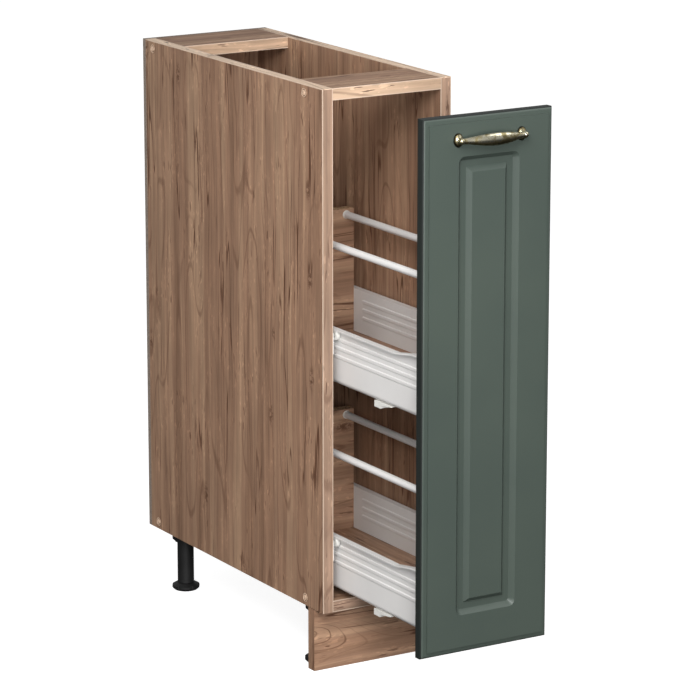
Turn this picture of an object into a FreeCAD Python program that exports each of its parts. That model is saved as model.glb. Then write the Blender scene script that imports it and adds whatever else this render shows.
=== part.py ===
import FreeCAD, Part
import math
import os
from types import SimpleNamespace

import Sketcher

# Pull-out base cabinet. Millimetres, +Z up, +Y to the back, +X to the right seen from the front.
# The origin is on the floor under the middle of the whole piece as it stands pulled out.
# Places below are counted from the carcase's front plane, and locate() turns them to the origin.

SIZES = {
    # carcase
    "carcase_width": 200.0,
    "carcase_height": 720.0,
    "carcase_depth": 500.0,
    "board": 16.0,
    "back_board": 8.0,
    "edge_band": 1.0,
    "stretcher_width": 86.0,
    "joint_inset": 11.0,
    "joint_front": 47.0,
    "joint_rear_inset": 30.0,
    "cap_radius": 6.5,
    "cap_height": 1.3,
    # legs and plinth
    "leg_height": 89.0,
    "leg_inset": 14.0,
    "leg_front": 61.0,
    "leg_rear_inset": 55.0,
    "tube_radius": 12.0,
    "socket_radius": 19.0,
    "collar_radius": 15.5,
    "socket_thick": 13.0,
    "socket_floor": 3.0,
    "collar_drop": 3.0,
    "foot_radius": 20.0,
    "foot_height": 10.0,
    "stem_radius": 6.0,
    "stem_length": 50.0,
    "plinth_setback": 24.0,
    "plinth_lift": 0.5,
    "plinth_top_gap": 1.0,
    # front
    "pull_out": 231.0,
    "front_gap": 4.0,
    "front_short": 8.0,
    "front_thick": 16.0,
    "front_lift": 5.0,
    "edge_round": 3.8,
    "edge_step": 8.2,
    "step_drop": 2.6,
    "frame_margin": 52.0,
    "groove_depth": 7.0,
    "slope_width": 6.0,
    "groove_floor": 9.0,
    "field_bevel": 6.0,
    "groove_corner": 9.0,
    # handle
    "handle_spacing": 96.0,
    "handle_drop": 30.0,
    "handle_reach": 17.0,
    "grip_thick": 9.4,
    # drawers
    "drawer_rear_gap": 42.0,
    "upper_level": 394.0,
    "lower_level": 106.0,
    "sheet": 1.2,
    "side_gap": 11.6,
    "flange_width": 7.5,
    "lip_drop": 1.8,
    "side_height": 78.5,
    "bend_radius": 7.5,
    "base_flange": 13.0,
    "ramp_rise": 6.5,
    "ramp_start": 81.0,
    "ramp_finish": 43.0,
    "bead_depth": 1.0,
    "bead_width": 6.0,
    "bead_first": 15.5,
    "bead_pitch": 11.8,
    "back_rise": 114.0,
    "rail_radius": 5.0,
    "rail_inset": 12.2,
    "rail_lift": 106.0,
    # runners and rollers
    "runner_extra": 4.0,
    "track_depth": 20.5,
    "runner_top": 5.8,
    "runner_foot": 33.0,
    "roller_radius": 7.0,
    "roller_width": 5.0,
    "roller_front": 5.5,
    "rear_roller_radius": 6.4,
    "rear_roller_inset": 12.0,
    "pin_radius": 1.75,
    "running_gap": 0.3,
}

doc = FreeCAD.newDocument("pull_out_cabinet")
sheet_object = doc.addObject("Spreadsheet::Sheet", "sizes")
for row, (alias, number) in enumerate(SIZES.items(), start=1):
    sheet_object.set("A%d" % row, alias)
    sheet_object.set("B%d" % row, "%g" % number)
    sheet_object.setAlias("B%d" % row, alias)
doc.recompute()


class Dim:
    """A length as the sheet's formula together with its present value."""

    def __init__(self, text, value):
        self.text = text
        self.value = value

    def __add__(self, other):
        other = dim(other)
        return Dim("(%s + %s)" % (self.text, other.text), self.value + other.value)

    def __sub__(self, other):
        other = dim(other)
        return Dim("(%s - %s)" % (self.text, other.text), self.value - other.value)

    def __mul__(self, other):
        other = dim(other)
        return Dim("(%s * %s)" % (self.text, other.text), self.value * other.value)

    def __truediv__(self, other):
        other = dim(other)
        return Dim("(%s / %s)" % (self.text, other.text), self.value / other.value)

    def __radd__(self, other):
        return dim(other) + self

    def __rsub__(self, other):
        return dim(other) - self

    def __rmul__(self, other):
        return dim(other) * self

    def __neg__(self):
        return dim(0) - self


def dim(value):
    if isinstance(value, Dim):
        return value
    return Dim("(%.6f)" % value, float(value))


z = SimpleNamespace(**{alias: Dim("sizes." + alias, number) for alias, number in SIZES.items()})

half = z.carcase_width / 2
inner = half - z.board
floor_z = z.leg_height
top_z = z.leg_height + z.carcase_height
rear_y = z.carcase_depth - z.back_board
web_out = inner - z.side_gap
web_in = web_out - z.sheet
lip_out = web_out + z.flange_width
front_width = z.carcase_width - z.front_gap
front_height = z.carcase_height - z.front_short
joint_rear = z.carcase_depth - z.joint_rear_inset
leg_side = inner - z.leg_inset
leg_rear = z.carcase_depth - z.leg_rear_inset
drawer_length = rear_y - z.drawer_rear_gap
runner_length = drawer_length + z.runner_extra
rail_offset = web_in - z.rail_inset
drawer_y = -z.pull_out
back_front = drawer_length - z.board
base_low = -z.side_height
base_top = base_low + z.sheet + z.board
runner_web = inner - z.sheet
runner_tip = web_out + 1.0
roller_z = -(z.sheet + z.running_gap + z.roller_radius)
rear_roller_z = -z.track_depth + z.running_gap + z.rear_roller_radius
reach_y = z.pull_out + z.front_thick + z.handle_reach + z.grip_thick / 2
middle_y = (z.carcase_depth - reach_y) / 2
LEVELS = {"upper": z.leg_height + z.upper_level, "lower": z.leg_height + z.lower_level}
SIDES = {"left": -1, "right": 1}
LEGS = {"front": z.leg_front, "rear": leg_rear}
TURNS = {
    "+x": ((0, 0, 1), 0),
    "-x": ((0, 0, 1), 180),
    "+y": ((0, 0, 1), 90),
    "-y": ((0, 0, 1), -90),
    "+z": ((0, 1, 0), -90),
    "-z": ((0, 1, 0), 90),
}
nodes = {}


def bind(item, prop, value):
    item.setExpression(prop, dim(value).text)


def locate(item, point):
    """Moves an item to a point counted from the carcase's front plane."""
    x, y, height = point
    for letter, value in (("x", x), ("y", dim(y) - middle_y), ("z", height)):
        bind(item, "Placement.Base." + letter, value)
    return item


def place(item, point, facing="+x"):
    axis, angle = TURNS[facing]
    turn = FreeCAD.Rotation(FreeCAD.Vector(*axis), angle)
    item.Placement = FreeCAD.Placement(FreeCAD.Vector(0, 0, 0), turn)
    return locate(item, point)


def node(name, item):
    item.Label = name
    nodes[name] = item
    return item


def span(side, low, high):
    """The X span of a piece given by its distances from the middle plane."""
    if side > 0:
        return dim(low), dim(high)
    return -dim(high), -dim(low)


def box(name, span_x, span_y, span_z):
    item = doc.addObject("Part::Box", name)
    spans = (span_x, span_y, span_z)
    for prop, (low, high) in zip(("Length", "Width", "Height"), spans):
        bind(item, prop, dim(high) - low)
    return locate(item, [low for low, high in spans])


def rod(name, point, facing, radius, length):
    item = doc.addObject("Part::Cylinder", name)
    axis, angle = TURNS[facing]
    lift = FreeCAD.Rotation(FreeCAD.Vector(0, 1, 0), 90)
    turn = FreeCAD.Rotation(FreeCAD.Vector(*axis), angle).multiply(lift)
    item.Placement = FreeCAD.Placement(FreeCAD.Vector(0, 0, 0), turn)
    bind(item, "Radius", radius)
    bind(item, "Height", length)
    return locate(item, point)


def group(name, items):
    item = doc.addObject("Part::Compound", name)
    item.Links = items
    return item


def cut(name, base, tools):
    item = doc.addObject("Part::Cut", name)
    item.Base = base
    item.Tool = tools[0] if len(tools) == 1 else group(name + "_tools", tools)
    return item


def fuse(name, items):
    item = doc.addObject("Part::MultiFuse", name)
    item.Shapes = items
    item.Refine = True
    return item


def new_body(name):
    return doc.addObject("PartDesign::Body", name)


def draw(body, plane, offset, loops):
    """A sketch on one of the body's planes; a loop is a list of (x, y, arc radius or None)."""
    item = body.newObject("Sketcher::SketchObject", body.Name + "_sketch")
    base = [feature for feature in body.Origin.OriginFeatures if feature.Role == plane][0]
    item.AttachmentSupport = (base, [""])
    item.MapMode = "FlatFace"
    bind(item, "AttachmentOffset.Base.z", offset)
    for loop in loops:
        if len(loop) == 1:
            add_circle(item, *loop[0])
        else:
            add_outline(item, [point if len(point) == 3 else point + (None,) for point in loop])
    return item


def constrain(item, constraints, formulas):
    first = item.ConstraintCount
    item.addConstraint(constraints)
    for offset, formula in formulas:
        label = "size_%d" % (first + offset)
        item.renameConstraint(first + offset, label)
        item.setExpression("Constraints." + label, formula.text)


def add_circle(item, x, y, radius):
    x, y, radius = dim(x), dim(y), dim(radius)
    centre = FreeCAD.Vector(x.value, y.value, 0)
    index = item.addGeometry(Part.Circle(centre, FreeCAD.Vector(0, 0, 1), radius.value))
    constraints = [
        Sketcher.Constraint("DistanceX", -1, 1, index, 3, x.value),
        Sketcher.Constraint("DistanceY", -1, 1, index, 3, y.value),
        Sketcher.Constraint("Radius", index, radius.value),
    ]
    constrain(item, constraints, [(0, x), (1, y), (2, radius)])


def arc_between(start, end, radius, side):
    """The short arc from start to end that bulges to the left (side 1) or right (side -1)."""
    chord = end - start
    middle = (start + end) * 0.5
    left = FreeCAD.Vector(-chord.y, chord.x, 0).normalize()
    centre = middle - left * side * math.sqrt(radius * radius - chord.Length * chord.Length / 4)
    circle = Part.Circle(centre, FreeCAD.Vector(0, 0, 1), radius)
    angles = [math.atan2(point.y - centre.y, point.x - centre.x) for point in (start, end)]
    if side > 0:
        angles.reverse()
    if angles[1] < angles[0]:
        angles[1] += 2 * math.pi
    return Part.ArcOfCircle(circle, angles[0], angles[1])


def add_outline(item, loop):
    """Closed outline; an arc is (radius, side) and runs from its point to the next one."""
    points = [FreeCAD.Vector(dim(x).value, dim(y).value, 0) for x, y, arc in loop]
    first = item.GeometryCount
    ends = []
    for number, (x, y, arc) in enumerate(loop):
        start, end = points[number], points[(number + 1) % len(points)]
        if arc is None:
            item.addGeometry(Part.LineSegment(start, end))
            ends.append((1, 2))
        else:
            item.addGeometry(arc_between(start, end, dim(arc[0]).value, arc[1]))
            ends.append((1, 2) if arc[1] < 0 else (2, 1))
    constraints = []
    formulas = []
    for number, (x, y, arc) in enumerate(loop):
        after = (number + 1) % len(loop)
        here = first + number
        constraints.append(
            Sketcher.Constraint("Coincident", here, ends[number][1], first + after, ends[after][0])
        )
        for kind, value in (("DistanceX", dim(x)), ("DistanceY", dim(y))):
            formulas.append((len(constraints), value))
            constraints.append(
                Sketcher.Constraint(kind, -1, 1, here, ends[number][0], value.value)
            )
        if arc is not None:
            formulas.append((len(constraints), dim(arc[0])))
            constraints.append(Sketcher.Constraint("Radius", here, dim(arc[0]).value))
    constrain(item, constraints, formulas)


def feature(body, kind, sketch, length, back=False, taper=None):
    item = body.newObject("PartDesign::" + kind, body.Name + "_" + kind.lower())
    item.Profile = sketch
    bind(item, "Length", length)
    item.Reversed = back
    if taper is not None:
        item.setExpression("TaperAngle", taper)
    return item


def turned(name, profile, axis="H_Axis", plane="XY_Plane"):
    """A solid of revolution; by default the profile is (distance along X, radius)."""
    body = new_body(name)
    sketch = draw(body, plane, 0, [profile])
    item = body.newObject("PartDesign::Revolution", name + "_revolution")
    item.Profile = sketch
    item.ReferenceAxis = (sketch, [axis])
    item.Angle = 360
    return body


def screw(name, point, facing, head_radius, head_height, shank_radius, length):
    profile = [
        (-dim(head_height), 0),
        (-dim(head_height), dim(head_radius) - 0.6),
        (-dim(head_height) + 0.6, head_radius),
        (0, head_radius),
        (0, shank_radius),
        (dim(length) - 2, shank_radius),
        (length, 0.5),
        (length, 0),
    ]
    return place(turned(name, profile), point, facing)


def rectangle(x_low, x_high, y_low, y_high):
    return [(x_low, y_low), (x_high, y_low), (x_high, y_high), (x_low, y_high)]


# Stations of the fasteners that boards and hardware share
joint_stations = [
    (y, level)
    for y in (z.joint_front, joint_rear)
    for level in (floor_z + z.joint_inset, top_z - z.joint_inset)
]
runner_screw_y = [dim(37), runner_length - 193, runner_length - 33]
runner_screw_z = (-z.runner_foot - z.track_depth - z.sheet) / 2
back_screws = [
    (side * (half - z.board / 2), floor_z + share * z.carcase_height)
    for side in (-1, 1)
    for share in (0.08, 0.36, 0.64, 0.92)
]
back_screws += [(side * inner * 0.55, floor_z + z.board / 2) for side in (-1, 1)]
back_screws += [(side * inner * 0.55, top_z - z.board / 2) for side in (-1, 1)]
leg_screw_turns = [90, 210, 330]

# Side boards with joint holes, runner pilot holes and pilot holes for the back
for side_name, side in SIDES.items():
    label = side_name + "_side_panel"
    inward = "-x" if side > 0 else "+x"
    outward = "+x" if side > 0 else "-x"
    blank = box(
        label + "_blank",
        span(side, inner, half),
        (z.edge_band, rear_y),
        (floor_z, top_z - z.edge_band),
    )
    narrow = []
    wide = []
    for number, (y, level) in enumerate(joint_stations):
        hole = "%s_hole_%d" % (label, number)
        narrow.append(rod(hole, (side * inner, y, level), outward, 3.6, z.board))
        wide.append(rod(hole + "_seat", (side * half, y, level), inward, 5.1, 3.0))
    for level_name, level in LEVELS.items():
        for number, y in enumerate(runner_screw_y):
            hole = "%s_%s_pilot_%d" % (label, level_name, number)
            at = (side * inner, y, level + runner_screw_z)
            narrow.append(rod(hole, at, outward, 1.85, 11.5))
    for number, (x, level) in enumerate(back_screws):
        if abs(x.value) > inner.value and x.value * side > 0:
            hole = "%s_back_pilot_%d" % (label, number)
            narrow.append(rod(hole, (x, rear_y, level), "-y", 1.7, 14.5))
    drilled = cut(label + "_drilled", blank, narrow)
    node(label, cut(label, drilled, wide))

# Boards between the sides
leg_screw_spots = []
for y in LEGS.values():
    for side in (-1, 1):
        for turn in leg_screw_turns:
            dx = 7 * math.cos(math.radians(turn))
            dy = 7 * math.sin(math.radians(turn))
            leg_screw_spots.append((side * leg_side + dx, y + dy))


def cross_board(label, span_y, span_z, joints, extra):
    blank = box(label + "_blank", (-inner, inner), span_y, span_z)
    tools = list(extra)
    for number, (y, level) in enumerate(joints):
        for side_name, side in SIDES.items():
            inward = "-x" if side > 0 else "+x"
            hole = "%s_%s_hole_%d" % (label, side_name, number)
            tools.append(rod(hole, (side * inner, y, level), inward, 2.6, 37))
    return node(label, cut(label, blank, tools))


def back_pilots(label, level):
    return [
        rod("%s_back_pilot_%d" % (label, number), (x, rear_y, at), "-y", 1.7, 14.5)
        for number, (x, at) in enumerate(back_screws)
        if abs(at.value - level.value) < 0.01 and abs(x.value) < inner.value
    ]


bottom_pilots = [
    rod("bottom_leg_pilot_%d" % number, (x, y, floor_z), "+z", 1.7, 11)
    for number, (x, y) in enumerate(leg_screw_spots)
]
bottom_pilots += back_pilots("bottom", floor_z + z.board / 2)
bottom_joints = [station for station in joint_stations if station[1].value < 400]
top_joints = [station for station in joint_stations if station[1].value > 400]
front_edge = (z.edge_band, z.stretcher_width)
rear_edge = (rear_y - z.stretcher_width + z.edge_band, rear_y)
cross_board(
    "bottom_panel", (z.edge_band, rear_y), (floor_z, floor_z + z.board), bottom_joints, bottom_pilots
)
cross_board("front_stretcher", front_edge, (top_z - z.board, top_z), top_joints[:1], [])
cross_board(
    "rear_stretcher",
    rear_edge,
    (top_z - z.board, top_z),
    top_joints[1:],
    back_pilots("stretcher", top_z - z.board / 2),
)

back_blank = box("back_blank", (-half, half), (rear_y, z.carcase_depth), (floor_z, top_z))
back_holes = []
back_seats = []
for number, (x, level) in enumerate(back_screws):
    back_holes.append(rod("back_hole_%d" % number, (x, rear_y, level), "+y", 1.8, z.back_board))
    seat = rod("back_seat_%d" % number, (x, z.carcase_depth, level), "-y", 3.4, 2.0)
    back_seats.append(seat)
back_drilled = cut("back_drilled", back_blank, back_holes)
node("back_panel", cut("back_panel", back_drilled, back_seats))

# Edge bands on the front edges and along the top of the sides
bands = []
for side_name, side in SIDES.items():
    across = span(side, inner, half)
    upright = (floor_z, top_z - z.edge_band)
    bands.append(box("band_front_" + side_name, across, (0, z.edge_band), upright))
    bands.append(box("band_top_" + side_name, across, (0, rear_y), (top_z - z.edge_band, top_z)))
for band_name, y, low in (
    ("bottom", dim(0), floor_z),
    ("front", dim(0), top_z - z.board),
    ("rear", rear_y - z.stretcher_width, top_z - z.board),
):
    across = (-inner, inner)
    bands.append(box("band_" + band_name, across, (y, y + z.edge_band), (low, low + z.board)))
node("edge_bands", group("edge_bands", bands))

# Joint screws under domed caps
joint_profile = [
    (2.5, 0),
    (2.5, 2.1),
    (0, 2.1),
    (0, 5),
    (3, 5),
    (3, 3.5),
    (z.board, 3.5),
    (z.board, 2.5),
    (50, 2.5),
    (52, 0.8),
    (52, 0),
]
cap_profile = [
    (-2, 0),
    (-2, 1.8),
    (0, 1.8),
    (0, z.cap_radius),
    (0.4, z.cap_radius, (24.0, 1)),
    (z.cap_height, 0),
]
joint_screws = []
caps = []
for side_name, side in SIDES.items():
    inward = "-x" if side > 0 else "+x"
    outward = "+x" if side > 0 else "-x"
    for number, (y, level) in enumerate(joint_stations):
        tag = "%s_%d" % (side_name, number)
        at = (side * half, y, level)
        joint_screws.append(place(turned("joint_screw_" + tag, joint_profile), at, inward))
        caps.append(place(turned("cap_" + tag, cap_profile), at, outward))
node("carcase_screws", group("carcase_screws", joint_screws))
node("screw_caps", group("screw_caps", caps))

back_fixings = [
    screw("back_screw_%d" % number, (x, z.carcase_depth - 2, level), "-y", 3.3, 2, 1.6, 20)
    for number, (x, level) in enumerate(back_screws)
]
node("back_panel_screws", group("back_panel_screws", back_fixings))

# Legs: screwed socket, tube and levelling foot
sockets = []
leg_screws = []
tube_low = z.foot_height
tube_top = floor_z - z.socket_floor
bore = z.tube_radius + 0.1
socket_profile = [
    (0, -z.socket_floor),
    (bore, -z.socket_floor),
    (bore, -z.socket_thick - z.collar_drop),
    (z.collar_radius, -z.socket_thick - z.collar_drop),
    (z.collar_radius, -z.socket_thick),
    (z.socket_radius - 1, -z.socket_thick),
    (z.socket_radius, -z.socket_thick + 1),
    (z.socket_radius, 0),
    (0, 0),
]
tube_profile = [
    (z.stem_radius + 0.1, 0),
    (z.tube_radius - 0.8, 0),
    (z.tube_radius, 0.8),
    (z.tube_radius, tube_top - tube_low),
    (z.tube_radius - 3, tube_top - tube_low),
    (z.tube_radius - 3, 40),
    (z.stem_radius + 0.1, 40),
]
foot_profile = [
    (0, 0),
    (z.foot_radius - 3, 0),
    (z.foot_radius, z.foot_height * 0.3),
    (z.foot_radius, z.foot_height * 0.65),
    (z.foot_radius - 6, z.foot_height),
    (z.stem_radius, z.foot_height),
    (z.stem_radius, z.foot_height + z.stem_length - 1),
    (z.stem_radius - 1, z.foot_height + z.stem_length),
    (0, z.foot_height + z.stem_length),
]
notch_spots = []
for number in range(6):
    turn = math.radians(29 + 60 * number)
    reach = z.foot_radius + 0.4
    notch_spots.append([(reach * math.cos(turn), reach * math.sin(turn), 2.8)])
for leg_name, y in LEGS.items():
    for side_name, side in SIDES.items():
        tag = "%s_%s" % (leg_name, side_name)
        at = (side * leg_side, y)
        socket = turned("socket_" + tag, socket_profile, "V_Axis", "XZ_Plane")
        holes = []
        seats = []
        for turn in leg_screw_turns:
            dx = 7 * math.cos(math.radians(turn))
            dy = 7 * math.sin(math.radians(turn))
            holes.append([(dx, dy, 1.8)])
            seats.append([(dx, dy, 3.1)])
            name = "leg_screw_%s_%d" % (tag, turn)
            spot = (at[0] + dx, at[1] + dy, floor_z - z.socket_floor + 1.8)
            leg_screws.append(screw(name, spot, "+z", 3.0, 1.8, 1.6, 11.5))
        feature(socket, "Pocket", draw(socket, "XY_Plane", 0, holes), z.socket_floor)
        sunk = draw(socket, "XY_Plane", -z.socket_floor, seats)
        feature(socket, "Pocket", sunk, 1.8, back=True)
        sockets.append(place(socket, at + (floor_z,)))
        tube = turned("tube_" + tag, tube_profile, "V_Axis", "XZ_Plane")
        node("leg_tube_" + tag, place(tube, at + (tube_low,)))
        foot = turned("foot_" + tag, foot_profile, "V_Axis", "XZ_Plane")
        feature(foot, "Pocket", draw(foot, "XY_Plane", 0, notch_spots), z.foot_height, back=True)
        node("levelling_foot_" + tag, place(foot, at + (0,)))
node("leg_plates", group("leg_plates", sockets))
node("leg_screws", group("leg_screws", leg_screws))

# Plinth with a clip for each front leg
plinth_rear = z.plinth_setback + z.board
plinth_blank = box(
    "plinth_blank",
    (-half, half),
    (z.plinth_setback, plinth_rear),
    (z.plinth_lift, floor_z - z.plinth_top_gap),
)
clip_low = floor_z * 0.45
clip_high = clip_low + 20
clip_mid = clip_low + 10
plinth_pilots = []
clip_screws = []
for side_name, side in SIDES.items():
    x = side * leg_side
    name = "plinth_clip_" + side_name
    plate = box(name + "_plate", (x - 21, x + 21), (plinth_rear, plinth_rear + 3), (clip_low, clip_high))
    neck = box(name + "_neck", (x - 6, x + 6), (plinth_rear, z.leg_front), (clip_low, clip_high))
    shell = rod(name + "_shell", (x, z.leg_front, clip_low), "+z", z.tube_radius + 2.6, 20)
    whole = fuse(name + "_whole", [plate, neck, shell])
    hollow = rod(name + "_hollow", (x, z.leg_front, clip_low - 1), "+z", bore, 22)
    opened = cut(name + "_opened", whole, [hollow])
    mouth = box(
        name + "_mouth",
        (x - z.tube_radius * 0.8, x + z.tube_radius * 0.8),
        (z.leg_front + 4, z.leg_front + z.tube_radius + 6),
        (clip_low - 1, clip_high + 1),
    )
    holes = [mouth]
    for spread in (-17, 17):
        tag = "%s_screw_%d" % (name, spread)
        holes.append(rod(tag + "_hole", (x + spread, plinth_rear, clip_mid), "+y", 1.8, 3))
        plinth_pilots.append(rod(tag + "_pilot", (x + spread, plinth_rear, clip_mid), "-y", 1.7, 11))
        clip_screws.append(screw(tag, (x + spread, plinth_rear + 3, clip_mid), "-y", 3.2, 2, 1.6, 13))
    node(name, cut(name, opened, holes))
node("plinth", cut("plinth", plinth_blank, plinth_pilots))
node("plinth_clip_screws", group("plinth_clip_screws", clip_screws))

# Runners screwed to the sides, with a front roller each
runner_screws = []
front_pins = []
roller_low = web_out + 1.5
roller_high = roller_low + z.roller_width


def roller_profile(radius):
    reach = z.roller_width / 2
    hole = z.pin_radius + 0.05
    return [
        (-reach, hole),
        (-reach, radius - 0.6),
        (-reach + 0.6, radius),
        (reach - 0.6, radius),
        (reach, radius - 0.6),
        (reach, hole),
    ]


for level_name, level in LEVELS.items():
    for side_name, side in SIDES.items():
        tag = "%s_%s" % (level_name, side_name)
        runner = new_body("runner_" + tag)
        low, high = span(side, runner_web, inner)
        web = [
            (0.5, -z.runner_foot),
            (runner_length, -z.runner_foot),
            (runner_length, -z.runner_top),
            (14, -z.runner_top),
            (14, -z.runner_top + 1.6),
            (0.5, -z.runner_top + 1.6),
        ]
        feature(runner, "Pad", draw(runner, "YZ_Plane", low, [web]), z.sheet)
        flanges = [
            rectangle(14, runner_length, -z.runner_top - z.sheet, -z.runner_top),
            rectangle(14, runner_length, -z.track_depth - z.sheet, -z.track_depth),
        ]
        low, high = span(side, runner_tip, inner)
        feature(runner, "Pad", draw(runner, "YZ_Plane", low, flanges), inner - runner_tip)
        holes = [[(y, runner_screw_z, 1.9)] for y in runner_screw_y]
        holes.append([(z.roller_front, roller_z, z.pin_radius)])
        low, high = span(side, runner_web - 1, inner + 1)
        feature(runner, "Pocket", draw(runner, "YZ_Plane", high, holes), z.sheet + 2)
        node("runner_" + tag, place(runner, (0, 0, level)))
        outward = "+x" if side > 0 else "-x"
        inward = "-x" if side > 0 else "+x"
        for number, y in enumerate(runner_screw_y):
            name = "runner_screw_%s_%d" % (tag, number)
            at = (side * runner_web, y, level + runner_screw_z)
            runner_screws.append(screw(name, at, outward, 3.4, 2, 1.7, 12))
        wheel = turned("front_roller_" + tag, roller_profile(z.roller_radius))
        at = (side * (roller_low + z.roller_width / 2), z.roller_front, level + roller_z)
        node("front_roller_" + tag, place(wheel, at))
        collar = runner_web - roller_high - 0.2
        pin_profile = [
            (-z.sheet, 0),
            (-z.sheet, z.pin_radius - 0.05),
            (0, z.pin_radius - 0.05),
            (0, 3.2),
            (collar, 3.2),
            (collar, z.pin_radius),
            (collar + z.roller_width + 0.4, z.pin_radius),
            (collar + z.roller_width + 0.4, 3.2),
            (collar + z.roller_width + 1.2, 3.2),
            (collar + z.roller_width + 1.2, 0),
        ]
        pin = turned("front_pin_" + tag, pin_profile)
        at = (side * runner_web, z.roller_front, level + roller_z)
        front_pins.append(place(pin, at, inward))
node("runner_screws", group("runner_screws", runner_screws))
node("front_roller_pins", group("front_roller_pins", front_pins))

# Drawers: folded steel sides, boards, rails and their fittings
rear_pins = []
rail_sockets = []
rail_caps = []
brackets = []
base_clips = []
drawer_screws = []
rear_roller_y = drawer_length - z.rear_roller_inset
back_mid = drawer_length - z.board / 2
base_screw_y = [dim(50), drawer_length / 2 - 5, drawer_length - 60]
base_screw_x = web_out - 9.5
bracket_screw_x = web_in - 14
bracket_screw_z = [dim(-20), dim(-46)]
back_screw_z = [dim(-33), dim(-54)]
clip_y = drawer_length * 0.28
clip_length = dim(41)
bead_z = [-(z.bead_first + number * z.bead_pitch) for number in range(3)]
bend_in = z.bend_radius - z.sheet
ramp = [(z.ramp_start, dim(0)), (z.ramp_finish, z.ramp_rise), (dim(0), z.ramp_rise)]


def strip(drop):
    """The folded edge's line from back to front, thickened downwards by drop."""
    upper = [(drawer_length, dim(0))] + ramp
    lower = [(y, level - drop) for y, level in reversed(upper)]
    return upper + lower


def drawer_side(tag, side, level):
    body = new_body("drawer_side_" + tag)
    low, high = span(side, web_in, web_out)
    web = [(drawer_length, base_low + z.bend_radius), (drawer_length, dim(0))] + ramp
    web.append((0, base_low + z.bend_radius))
    feature(body, "Pad", draw(body, "YZ_Plane", low, [web]), z.sheet)
    start = span(side, web_in, lip_out)[0]
    feature(body, "Pad", draw(body, "YZ_Plane", start, [strip(z.sheet)]), lip_out - web_in)
    start = span(side, lip_out - z.sheet, lip_out)[0]
    feature(body, "Pad", draw(body, "YZ_Plane", start, [strip(z.lip_drop)]), z.sheet)
    bend = [
        (side * web_in, base_low + z.bend_radius, (bend_in, side)),
        (side * (web_in - bend_in), base_low + z.sheet),
        (side * (web_out - z.base_flange), base_low + z.sheet),
        (side * (web_out - z.base_flange), base_low),
        (side * (web_out - z.bend_radius), base_low, (z.bend_radius, -side)),
        (side * web_out, base_low + z.bend_radius),
    ]
    sketch = draw(body, "XZ_Plane", -drawer_length, [bend])
    feature(body, "Pad", sketch, drawer_length)
    # all sides are pressed to the left; the right ones stay clear of their brackets
    ridge, hollow = (-web_out, -web_in) if side < 0 else (web_in, web_out)
    beads = []
    for level_z in bead_z:
        reach = z.bead_width / 2
        near = dim(12) if side < 0 else dim(44)
        far = back_front - 22
        beads.append(
            [
                (near, level_z),
                (near + reach, level_z - reach),
                (far - reach, level_z - reach),
                (far, level_z),
                (far - reach, level_z + reach),
                (near + reach, level_z + reach),
            ]
        )
    feature(body, "Pad", draw(body, "YZ_Plane", ridge, beads), z.bead_depth, back=True, taper="-52")
    feature(body, "Pocket", draw(body, "YZ_Plane", hollow, beads), z.bead_depth, back=False, taper="-52")
    holes = [[(rear_roller_y, rear_roller_z, z.pin_radius)]]
    holes += [[(back_mid, level_z, 1.8)] for level_z in back_screw_z]
    high = span(side, web_in - 1, web_out + 1)[1]
    feature(body, "Pocket", draw(body, "YZ_Plane", high, holes), z.sheet + 2)
    holes = [[(side * base_screw_x, y, 1.8)] for y in base_screw_y]
    holes.append([(side * base_screw_x, clip_y, 2.0)])
    feature(body, "Pocket", draw(body, "XY_Plane", base_low + 2, holes), 3)
    return node("drawer_side_" + tag, place(body, (0, drawer_y, level)))


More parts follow.
